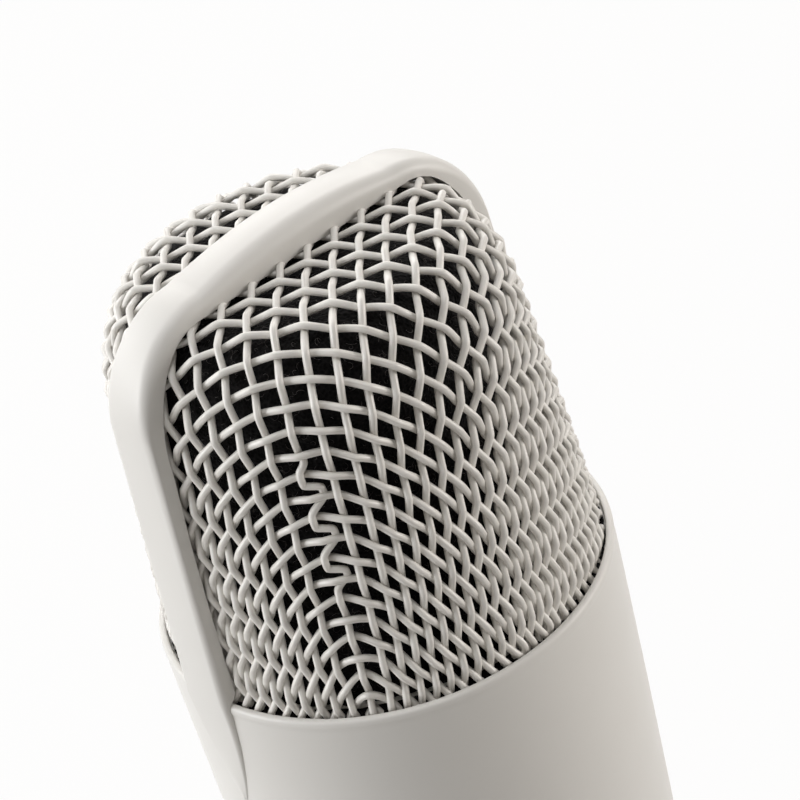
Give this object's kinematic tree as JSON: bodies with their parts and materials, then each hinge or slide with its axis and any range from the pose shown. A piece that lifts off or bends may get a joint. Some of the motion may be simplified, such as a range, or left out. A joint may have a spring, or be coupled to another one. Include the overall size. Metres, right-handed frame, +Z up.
{
  "type": "desktop microphone",
  "caption": "Side-address desktop microphone: round body, woven wire grilles under a cast band, on a tilting fork, post and heavy round base.",
  "frame": {"origin": "centre of the round base on the table, at the foot ring's underside", "axes": "+Z up along the post and the microphone, -Y the front with the controls, +X the tilt knob's side"},
  "size_m": [0.12, 0.12, 0.2563],
  "materials": {
    "satin_paint": "smooth satin off-white paint",
    "grille_paint": "satin pale grey paint on steel wire",
    "foam": "black open-cell foam",
    "brass": "machined",
    "steel": "bright zinc-plated",
    "dark_metal": "satin dark grey coating",
    "black_plastic": "fine matt",
    "grey_plastic": "fine matt",
    "film": "metal-coated film",
    "rubber": "matt",
    "board": "green solder mask",
    "lens": "clear, slightly green"
  },
  "bodies": {
    "stand": {"base_plate": "satin_paint", "foot_ring": "rubber", "base_washer": "steel", "base_bolt": "steel", "stand_post": "satin_paint", "swivel_washer": "black_plastic"},
    "fork": {"swivel_fork": "dark_metal", "swivel_set_screw": "steel", "tilt_bolt": "steel", "friction_washer_left": "black_plastic", "friction_washer_right": "black_plastic"},
    "microphone": {"head_frame": "satin_paint", "front_grille": "grille_paint", "rear_grille": "grille_paint", "foam_liner": "foam", "capsule_housing": "brass", "capsule_backplate": "brass", "front_diaphragm": "film", "rear_diaphragm": "film", "front_clamp_ring": "brass", "rear_clamp_ring": "brass", "capsule_post": "black_plastic", "isolation_mount": "rubber", "capsule_wire": "rubber", "head_retainer": "dark_metal", "head_screw_front": "steel", "head_screw_rear": "steel", "body_shell": "satin_paint", "left_rail": "black_plastic", "right_rail": "black_plastic", "main_board": "board", "audio_chip": "black_plastic", "preamp_shield": "steel", "volume_encoder": "dark_metal", "mute_switch": "black_plastic", "status_led": "grey_plastic", "status_light": "lens", "headphone_jack": "black_plastic", "usb_socket": "steel", "bottom_cap": "satin_paint", "cap_screw_left": "steel", "cap_screw_right": "steel", "mount_bracket": "dark_metal", "bracket_nut": "steel"},
    "tilt_knob": {"tilt_knob": "black_plastic"},
    "volume_knob": {"volume_knob": "black_plastic", "volume_shaft": "steel"},
    "mute_button": {"mute_button": "grey_plastic"}
  },
  "joints": [
    {"name": "swivel", "type": "hinge", "parent": "stand", "child": "fork", "pos_m": [0, 0, 0.0714], "axis": [0, 0, 1], "range_deg": [-170, 170]},
    {"name": "tilt", "type": "hinge", "parent": "fork", "child": "microphone", "pos_m": [0, 0, 0.0873], "axis": [1, 0, 0], "range_deg": [-40, 40]},
    {"name": "tilt_knob_turn", "type": "hinge", "parent": "fork", "child": "tilt_knob", "pos_m": [0.0157, 0, 0.0873], "axis": [1, 0, 0], "range_deg": [0, 270]},
    {"name": "volume_turn", "type": "hinge", "parent": "microphone", "child": "volume_knob", "pos_m": [0, -0.028, 0.1465], "axis": [0, -1, 0], "range_deg": [-150, 150]},
    {"name": "mute_press", "type": "slide", "parent": "microphone", "child": "mute_button", "axis": [0, 1, 0], "range_m": [0, 0.0012], "stiffness_N_per_m": 1200}
  ]
}
